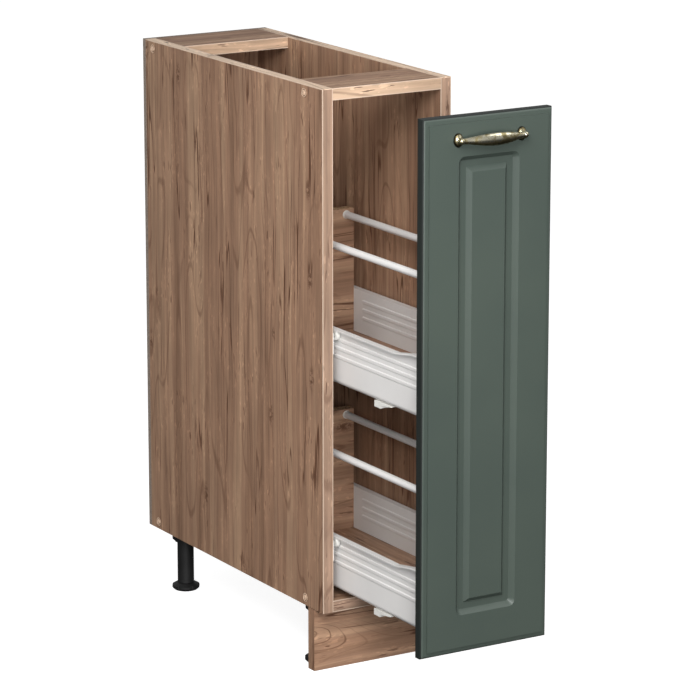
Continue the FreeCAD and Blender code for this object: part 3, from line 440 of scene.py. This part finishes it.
@dataclass(frozen=True)
class AntiqueBrass(Finish):
    """Cast brass, darkened and then worn back.

    Mottled patina, a painted highlight high up, and painted shade below and against the front.
    """

    mottle: float = 9.0
    grain: float = 3.0
    root: tuple[float, float] = (2.2, 5.5)
    belly: tuple[float, float] = (0.2, 0.45)

    def sockets(self, tree: bpy.types.NodeTree) -> dict[str, Value]:
        """Mottles the patina, paints shade below and against the front, and lets it dull the gloss.

        Args:
            tree: The material's node tree.

        Returns:
            The shader's inputs.
        """
        low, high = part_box("handle")
        place = add(tree, "TexCoord").outputs["Object"]
        parts = add(tree, "SeparateXYZ", {0: place}).outputs
        seen = {"Vector": place, "Scale": 1 / (self.mottle * MM), "Detail": 3.0}
        large = add(tree, "TexNoise", seen).outputs["Fac"]
        seen = {"Vector": place, "Scale": 1 / (self.grain * MM), "Detail": 2.0}
        small = add(tree, "TexNoise", seen).outputs["Fac"]
        # painted shade: brown within root millimetres of the front, and below the belly's shares of
        # the height
        root = [high.y - depth * MM for depth in self.root]
        belly = [low.z + share * (high.z - low.z) for share in self.belly]
        shares = (
            (large, 0.36, 0.62, 0.45, 1.0),
            (small, 0.3, 0.7, 0.85, 1.0),
            (parts[1], *root, 0.05, 1.0),
            (parts[2], *belly, 0.35, 1.0),
        )
        highlight_tone: Value = 1.0
        for source, *limits in shares:
            seen = {"Value": source, **dict(zip(RANGE, limits))}
            share = add(tree, "MapRange", seen, interpolation_type="SMOOTHSTEP").outputs[0]
            highlight_tone = add(tree, "Math", {0: highlight_tone, 1: share}, operation="MULTIPLY").outputs[0]
        # the dark end is patina and painted shade, the pale end a near-white painted highlight
        stops = [(0.05, "#2E281C"), (0.9, "#F2ECD2"), (0.5, "#A89C74")]
        colour = add(tree, "ValToRGB", {0: highlight_tone}, stops=stops).outputs[0]
        gloss = {"Value": highlight_tone, "To Min": 0.45, "To Max": 0.2}
        rough = add(tree, "MapRange", gloss).outputs[0]
        relief = {"Height": small, "Strength": 0.25, "Distance": 0.12 * MM}
        normal = add(tree, "Bump", relief).outputs[0]
        return {"Base Color": colour, "Metallic": 1.0, "Roughness": rough, "Normal": normal}


CORE = ChipboardCore("chipboard_sawn")
# greyer than chipboard: its fibres are 0.1 mm wide, drawn at 0.9 mm so that they show
FIBRE = ChipboardCore("fibreboard_sawn", pale="#9C8E82", deep="#7C7066", flake=0.9)
# vacuum-pressed film: an even green with a soft sheen
GREEN_FILM = Moulded(
    "pvc_film_satin_green", "#49534C", "#46504A", cloud=140.0, grit=0.8, relief=0.012, rough=0.42
)
# painted shade: the same film drawn much darker and duller on the rim
GREEN_RIM_PAINTED_SHADE = Moulded(
    "pvc_film_green_rim_painted_shade", "#1F2522", "#1C211F", cloud=140.0, grit=0.8, relief=0.012, rough=0.5
)
# melamine pressed on the back: plain white, a little dull
WHITE_BACKING = Moulded(
    "melamine_pressed_white", "#DCDAD6", "#D6D4D0", cloud=120.0, grit=0.6, relief=0.015, rough=0.48
)
# powder coat on folded steel: white, with a faint ripple in its gloss
WHITE_STEEL = Moulded(
    "steel_powder_coat_white", "#E4E2E0", "#DEDCDA", cloud=90.0, grit=0.7, relief=0.03, rough=0.4
)
# moulded nylon: milky white, half dull
WHITE_NYLON = Moulded(
    "nylon_moulded_white", "#E6E5E0", "#DDDBD5", cloud=12.0, grit=0.4, relief=0.01, rough=0.48
)
# moulded ABS: black, with a grained skin that breaks its shine
BLACK_ABS = Moulded(
    "abs_moulded_black", "#171717", "#121212", cloud=25.0, grit=0.8, relief=0.04, rough=0.5
)
# moulded polyethylene: waxy beige, smoother than the boards
BEIGE_CAP = Moulded(
    "polyethylene_moulded_beige", "#DDBDA2", "#D3B297", cloud=8.0, grit=0.5, relief=0.01, rough=0.34
)
# painted shade: the same polyethylene drawn deep brown and dull in the cap's groove and at its edge
BEIGE_PAINTED_SHADE = Moulded(
    "polyethylene_groove_painted_shade", "#634530", "#5A3E2B", cloud=8.0, grit=0.5, relief=0.01, rough=0.6
)
# acrylic lit from behind: an even white without shine
LIT_SHEET = Moulded(
    "acrylic_sheet_backlit", "#BEBEBE", "#BABABA", cloud=900.0, rough=0.9, glow=0.86
)
ZINC = ZincPlate("steel_zinc_plated")
BRASS = AntiqueBrass("brass_cast_antique")


def dress(node: str, *finishes: Finish, pick: Optional[Pick] = None) -> None:
    """Gives a CAD node its finishes.

    Args:
        node: The CAD node's name.
        finishes: The finishes, in slot order.
        pick: Chooses a slot for each face; without it the first finish covers all.
    """
    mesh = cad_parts[node].data
    mesh.materials.clear()
    for finish in finishes:
        mesh.materials.append(finish.material())
    for polygon in mesh.polygons:
        polygon.material_index = pick(polygon) if pick else 0
    LOG.info("dressed %s in %s", node, ", ".join(finish.name for finish in finishes))


@dataclass(frozen=True)
class Board:
    """A faced board: where its grain runs and how its edges are finished."""

    node: str
    along: Axis
    across: Axis
    seed: float
    edge: Finish = CORE
    lit_tones: tuple[str, ...] = ()
    rings: float = 0.4
    turns: float = 8.0

    def dress(self) -> None:
        """Faces the board with oak decor and finishes its edges and drillings."""
        thin = third(self.along, self.across)
        face = OakDecor(
            "oak_melamine_" + self.node,
            self.along,
            self.across,
            self.seed,
            *self.lit_tones,
            rings=self.rings,
            turns=self.turns,
        )
        dress(self.node, face, self.edge, pick=lambda side: int(abs(side.normal[thin]) < FACING))


@dataclass
class Carcase:
    """Sides, cross boards, back, edge bands and joint screws."""

    boards: tuple[Board, ...] = (
        Board("left_side_panel", Axis.Z, Axis.Y, 1.0),
        Board("right_side_panel", Axis.Z, Axis.Y, 2.3),
        Board("bottom_panel", Axis.X, Axis.Y, 3.1),
        Board("front_stretcher", Axis.X, Axis.Y, 4.7),
        Board("rear_stretcher", Axis.X, Axis.Y, 5.2),
        Board("back_panel", Axis.Z, Axis.X, 6.4, FIBRE),
    )
    band_seed: float = 7.7
    band_crack: str = "#5E4030"
    band_scratch: float = 0.85
    slack: float = 0.01 * MM

    def dress(self) -> None:
        """Faces the boards, bands their edges and plates the joint screws."""
        for board in self.boards:
            board.dress()
        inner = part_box("bottom_panel")[1].x
        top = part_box("left_side_panel")[1].z
        uprights = (inner / MM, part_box("right_side_panel")[1].x / MM)
        crossing = ("bottom_panel", "front_stretcher")
        levels = tuple(corner.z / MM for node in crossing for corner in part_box(node))
        # painted light: a band is paler where it faces up or stands high, darker low down
        runs = (
            (Run.STRETCHER, Axis.X, Axis.Z, levels, ("#CDAF94", "#C4A58A", "#B3957C")),
            (Run.TOPS, Axis.Y, Axis.X, uprights, ("#EFD5BC", "#E8CBB0", "#D6B89C")),
            (Run.UPRIGHTS, Axis.Z, Axis.X, uprights, ("#B1917B", "#A98A75", "#9C806C")),
            (Run.BOTTOM, Axis.X, Axis.Z, levels, ("#A98B77", "#A18470", "#947967")),
        )
        bands = [
            OakDecor(
                "abs_edge_band_oak_" + run.name.lower(),
                along,
                across,
                self.band_seed,
                *lit_tones,
                self.band_crack,
                scratch=self.band_scratch,
                borders=borders,
            )
            for run, along, across, borders, lit_tones in runs
        ]

        def slot(polygon: bpy.types.MeshPolygon) -> int:
            """Finds the run that a face of the bands belongs to.

            Args:
                polygon: A face of the bands' node.

            Returns:
                The run's slot: across between the sides, on their tops, or else up.
            """
            spot = polygon.center
            if abs(spot.x) < inner - self.slack:
                return (Run.STRETCHER if spot.z > top / 2 else Run.BOTTOM).value
            return (Run.TOPS if spot.z > top - self.slack else Run.UPRIGHTS).value

        dress("edge_bands", *bands, pick=slot)
        dress("carcase_screws", ZINC)


@dataclass
class Base:
    """Legs with their levelling feet, and the clip-on plinth."""

    plinth: Board = Board(
        "plinth",
        Axis.X,
        Axis.Z,
        8.6,
        OakDecor("abs_edge_band_oak_plinth", along=Axis.Z, across=Axis.Y, seed=9.4),
        # painted light: paler tones than the other boards', to lift the plinth out of the shade
        # under the front and trays
        ("#B99579", "#A68168", "#97745B"),
        rings=0.6,
        turns=34.0,
    )

    def dress(self) -> None:
        """Faces the plinth and moulds the legs in black."""
        self.plinth.dress()
        dress("leg_plates", BLACK_ABS)
        dress("leg_screws", ZINC)
        for side in SIDES:
            dress("plinth_clip_" + side, BLACK_ABS)
            for end in ENDS:
                dress(f"leg_tube_{end}_{side}", BLACK_ABS)
                dress(f"levelling_foot_{end}_{side}", BLACK_ABS)


@dataclass
class Trays:
    """The railed trays with their runners, rollers and fittings."""

    seeds: tuple[float, ...] = (11.3, 12.8)
    back_shift: float = 0.6

    def dress(self) -> None:
        """Coats the steel, moulds the fittings and faces the boards."""
        for level, seed in zip(LEVELS, self.seeds):
            Board("drawer_bottom_" + level, Axis.Y, Axis.X, seed).dress()
            Board("drawer_back_" + level, Axis.X, Axis.Z, seed + self.back_shift).dress()
            for side in SIDES:
                track = f"{level}_{side}"
                for piece in ("runner_", "drawer_side_", "gallery_rail_"):
                    dress(piece + track, WHITE_STEEL)
                for end in ENDS:
                    dress(f"{end}_roller_{track}", WHITE_NYLON)
        for node in ("rail_sockets", "rail_caps", "base_clips"):
            dress(node, WHITE_NYLON)
        dress("front_brackets", WHITE_STEEL)
        for node in ("front_roller_pins", "rear_roller_pins"):
            dress(node, ZINC)


@dataclass
class Front:
    """The framed front with its bow handle."""

    margin: float = 0.05 * MM
    rim: float = 1.5 * MM

    def dress(self) -> None:
        """Wraps the front in green film, with painted shade on the rim, over a white backing and
        gives the handle its brass.
        """
        low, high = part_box("front_panel")

        def slot(polygon: bpy.types.MeshPolygon) -> int:
            """Tells the front's back, its rim and its face apart.

            Args:
                polygon: A face of the front.

            Returns:
                The slot of the face.
            """
            spot = polygon.center
            if spot.y > high.y - self.margin:
                return FrontSlot.BACK.value
            near = min(spot.x - low.x, high.x - spot.x, spot.z - low.z, high.z - spot.z)
            return (FrontSlot.RIM if near < self.rim else FrontSlot.FACE).value

        dress("front_panel", GREEN_FILM, GREEN_RIM_PAINTED_SHADE, WHITE_BACKING, pick=slot)
        dress("handle", BRASS)


@dataclass(frozen=True)
class Seat:
    """Where a fastener's head sits, its outward side along the place's z axis."""

    place: Matrix
    radius: float
    height: float


def seats(node: str, axis: Optional[Axis] = None) -> list[Seat]:
    """Finds the heads of a CAD node's separate fasteners.

    Args:
        node: The CAD node's name.
        axis: The fasteners' axis; without it each one lies along its longest side.

    Returns:
        A seat for each fastener, at the wide end of it.
    """
    form = bmesh.new()
    form.from_mesh(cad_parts[node].data)
    bmesh.ops.remove_doubles(form, verts=form.verts, dist=WELD)
    form.verts.index_update()
    reached: set[int] = set()
    found = []
    for first in form.verts:
        if first.index in reached:
            continue
        # one fastener is all that its edges join
        reached.add(first.index)
        part = [first]
        for vert in part:
            for edge in vert.link_edges:
                other = edge.other_vert(vert)
                if other.index not in reached:
                    reached.add(other.index)
                    part.append(other)
        low = Vector(min(vert.co[side] for vert in part) for side in range(3))
        high = Vector(max(vert.co[side] for vert in part) for side in range(3))
        size, middle = high - low, (low + high) / 2
        run = axis.value if axis else max(range(3), key=lambda side: size[side])
        # the widest points make the rim, which lies at the head's end
        crosswise = [side for side in range(3) if side != run]
        wide = []
        for vert in part:
            span = vert.co - middle
            wide.append((math.hypot(*(span[side] for side in crosswise)), vert.co[run]))
        radius = max(reach for reach, along in wide)
        rim = [along for reach, along in wide if reach > RIM_SHARE * radius]
        outward = 1.0 if sum(rim) / len(rim) > middle[run] else -1.0
        base, tip = (min(rim), high[run]) if outward > 0 else (max(rim), low[run])
        axle = Vector((0.0, 0.0, 0.0))
        axle[run] = outward
        spot = middle.copy()
        spot[run] = base
        turn = Vector((0.0, 0.0, 1.0)).rotation_difference(axle).to_matrix().to_4x4()
        found.append(Seat(Matrix.Translation(spot) @ turn, radius, abs(tip - base)))
    form.free()
    return found


@dataclass(frozen=True)
class Head:
    """A turned head, with a cross recess if it has an arm.

    Rings are shares of the radius and the height, from the top down. The recess is measured in the
    same shares, and taper is how much of it is left at its floor.
    """

    rings: tuple[tuple[float, float], ...]
    # rings whose faces take the second finish, painted shade
    shaded: tuple[int, ...] = ()
    arm: float = 0.0
    arm_width: float = 0.1
    recess: float = 0.6
    taper: float = 0.6
    segments: int = 28

    def build(self, form: bmesh.types.BMesh, seat: Seat) -> None:
        """Turns the head on its seat and mills the recess.

        Args:
            form: The mesh under construction.
            seat: Where the head sits and how large it is.
        """
        angles = [2 * math.pi * number / self.segments for number in range(self.segments)]
        loops = []
        for wide, tall in self.rings:
            reach, rise = wide * seat.radius, tall * seat.height
            points = [Vector((math.cos(at) * reach, math.sin(at) * reach, rise)) for at in angles]
            loops.append([form.verts.new(seat.place @ point) for point in points])
        for number, (upper, lower) in enumerate(zip(loops, loops[1:])):
            for here in range(self.segments):
                after = (here + 1) % self.segments
                face = form.faces.new((upper[here], lower[here], lower[after], upper[after]))
                face.material_index = int(number in self.shaded)
        form.faces.new(loops[-1][::-1])
        if self.arm:
            self.mill(form, seat, loops[0])
        else:
            form.faces.new(loops[0])

    def mill(self, form: bmesh.types.BMesh, seat: Seat, top: list[bmesh.types.BMVert]) -> None:
        """Mills a cross of four arms, narrower at its floor, and closes the top around it.

        Args:
            form: The mesh under construction.
            seat: Where the head sits and how large it is.
            top: The ring around the head's top.
        """
        long, half = self.arm, self.arm_width
        quarter = [(long, -half), (long, half), (half, half)]
        quarter_turns = [Matrix.Rotation(math.pi / 2 * turn, 2) for turn in range(4)]
        outline = [turn @ Vector(point) for turn in quarter_turns for point in quarter]
        top_share = self.rings[0][1]
        mouth, floor = [], []
        depths = ((mouth, 1.0, top_share), (floor, self.taper, top_share - self.recess))
        for loop, share, level in depths:
            for point in outline:
                spot = Vector((*(point * seat.radius * share), level * seat.height))
                loop.append(form.verts.new(seat.place @ spot))
        for here in range(len(outline)):
            after = (here + 1) % len(outline)
            form.faces.new((mouth[here], mouth[after], floor[after], floor[here]))
        form.faces.new(floor)
        lips = [
            form.edges.get((loop[here], loop[(here + 1) % len(loop)]))
            for loop in (top, mouth)
            for here in range(len(loop))
        ]
        bmesh.ops.triangle_fill(form, use_beauty=True, edges=lips)


# a low dome with a cross recess
CROSS_HEAD = Head(((0.66, 1.0), (0.82, 0.93), (0.94, 0.7), (1.0, 0.34), (1.0, 0.0)), arm=0.48)
# a domed middle, a groove round it and a raised rim
RIMMED_CAP = Head(
    (
        (0.04, 1.0),
        (0.3, 0.96),
        (0.48, 0.82),
        (0.6, 0.55),
        (0.64, 0.2),
        (0.74, 0.2),
        (0.78, 0.6),
        (0.88, 0.62),
        (0.96, 0.45),
        (1.0, 0.15),
        (1.0, 0.0),
    ),
    # painted shade: the groove's inner wall and floor and the rim's outer slope and side
    shaded=(3, 4, 8, 9),
)


@dataclass
class Fixings:
    """Cross-recessed screw heads and rimmed caps, in place of the plain CAD ones."""

    screws: tuple[tuple[str, str], ...] = (
        ("back_panel_screws", "carcase"),
        ("runner_screws", "carcase"),
        ("plinth_clip_screws", "carcase"),
        ("drawer_screws", "pull_out_unit"),
        ("handle_screws", "pull_out_unit"),
    )
    sharp: float = 32.0

    def make(
        self,
        node: str,
        body: str,
        head: Head,
        finishes: Sequence[Finish],
        axis: Optional[Axis] = None,
    ) -> None:
        """Replaces a node's fasteners by finer heads in the same places.

        Args:
            node: The CAD node that the heads stand for.
            body: The body they ride on.
            head: Their shape.
            finishes: The finishes, in slot order.
            axis: The fasteners' axis, where it isn't their longest side.
        """
        form = bmesh.new()
        places = seats(node, axis)
        for seat in places:
            head.build(form, seat)
        bmesh.ops.recalc_face_normals(form, faces=form.faces)
        mesh = bpy.data.meshes.new(node + "_heads")
        form.to_mesh(mesh)
        form.free()
        mesh.shade_smooth()
        mesh.set_sharp_from_angle(angle=math.radians(self.sharp))
        for finish in finishes:
            mesh.materials.append(finish.material())
        piece = bpy.data.objects.new(node + "_heads", mesh)
        bpy.context.scene.collection.objects.link(piece)
        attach(piece, body)
        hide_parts(node)
        LOG.info("built %d heads of %s", len(places), node)

    def dress(self) -> None:
        """Builds the screw heads in zinc and the caps in beige, with painted shade in their grooves
        and at their edges.
        """
        for node, body in self.screws:
            self.make(node, body, CROSS_HEAD, (ZINC,))
        beige = (BEIGE_CAP, BEIGE_PAINTED_SHADE)
        self.make("screw_caps", "carcase", RIMMED_CAP, beige, Axis.X)


@dataclass(frozen=True)
class Lamp:
    """A soft square light of some metres and watts, aimed at the cabinet."""

    name: str
    place: Place
    target: Place
    size: float
    power: float

    def build(self) -> None:
        """Hangs the light and turns it to its target."""
        data = bpy.data.lights.new(self.name, "AREA")
        data.energy = self.power
        data.shape, data.size = "SQUARE", self.size
        lamp = bpy.data.objects.new(self.name, data)
        lamp.location = self.place
        aim = Vector(self.target) - Vector(self.place)
        lamp.rotation_euler = aim.to_track_quat("-Z", "Y").to_euler()
        bpy.context.scene.collection.objects.link(lamp)


@dataclass
class Studio:
    """Pale floor, soft light and the camera at the photograph's angle.

    Places are in metres and angles in degrees; the lens and its sensor are in millimetres.
    """

    azimuth: float = -31.104
    pitch: float = 13.861
    lens: float = 187.23
    sensor: float = 36.0
    camera: Place = (-2.48812, -4.13889, 1.61516)
    sight: float = 100.0
    floor_reach: float = 30.0
    floor_corners: int = 96
    floor_drop: float = 0.2 * MM
    sky: float = 0.34
    underglow: float = 0.02
    fade: tuple[float, float] = (-0.3, 0.05)
    lamps: tuple[Lamp, ...] = (
        Lamp("key", (-1.2, -1.6, 1.9), (0.0, -0.2, 0.5), 1.1, 42.0),
        Lamp("front", (-1.15, -2.8, 0.95), (0.0, -0.3, 0.45), 0.9, 49.0),
        Lamp("fill", (-2.5, -2.1, 0.8), (0.0, -0.1, 0.4), 2.4, 9.0),
        Lamp("side", (-1.9, -0.75, 0.95), (0.0, -0.2, 0.5), 1.0, 4.0),
        Lamp("card", (1.2, -1.2, 2.1), (0.0, -0.36, 0.4), 1.2, 8.0),
    )

    def build(self) -> None:
        """Builds sky, floor, lights and camera."""
        bpy.context.scene.view_settings.view_transform = "Standard"
        self.build_sky()
        self.build_floor()
        for lamp in self.lamps:
            lamp.build()
        self.build_camera()
        LOG.info("built the studio with %d lamps", len(self.lamps))

    def build_sky(self) -> None:
        """Lights the sky, which fades below the level so that undersides fall dark."""
        world = bpy.data.worlds.new("studio_sky")
        world.use_nodes = True
        tree, backdrop = world.node_tree, world.node_tree.nodes["Background"]
        way = add(tree, "TexCoord").outputs["Generated"]
        rise = add(tree, "SeparateXYZ", {0: way}).outputs[Axis.Z.value]
        limits = (*self.fade, self.underglow, self.sky)
        light = add(tree, "MapRange", {"Value": rise, **dict(zip(RANGE, limits))}).outputs[0]
        backdrop.inputs["Color"].default_value = linear("#FFFFFF")
        tree.links.new(light, backdrop.inputs["Strength"])
        bpy.context.scene.world = world

    def build_floor(self) -> None:
        """Lays a lit sheet that throws no light back up, as under a cut-out picture."""
        mesh = bpy.data.meshes.new("floor")
        form = bmesh.new()
        bmesh.ops.create_circle(
            form, cap_ends=True, segments=self.floor_corners, radius=self.floor_reach
        )
        form.to_mesh(mesh)
        form.free()
        floor = bpy.data.objects.new("floor", mesh)
        floor.location.z = -self.floor_drop
        floor.visible_diffuse = floor.visible_glossy = False
        bpy.context.scene.collection.objects.link(floor)
        mesh.materials.append(LIT_SHEET.material())

    def build_camera(self) -> None:
        """Sets up the camera at the photograph's angle."""
        data = bpy.data.cameras.new("camera")
        data.sensor_width, data.lens = self.sensor, self.lens
        data.clip_end = self.sight
        camera = bpy.data.objects.new("camera", data)
        camera.location = self.camera
        turn = (90 - self.pitch, 0.0, self.azimuth)
        camera.rotation_euler = tuple(math.radians(angle) for angle in turn)
        bpy.context.scene.collection.objects.link(camera)
        bpy.context.scene.camera = camera


def main() -> None:
    """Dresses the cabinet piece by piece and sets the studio."""
    logging.basicConfig(level=logging.INFO, format="%(message)s")
    for group in (Carcase(), Base(), Trays(), Front(), Fixings()):
        LOG.info("sub-assembly %s", type(group).__name__)
        group.dress()
    Studio().build()


if __name__ == "__main__":
    main()
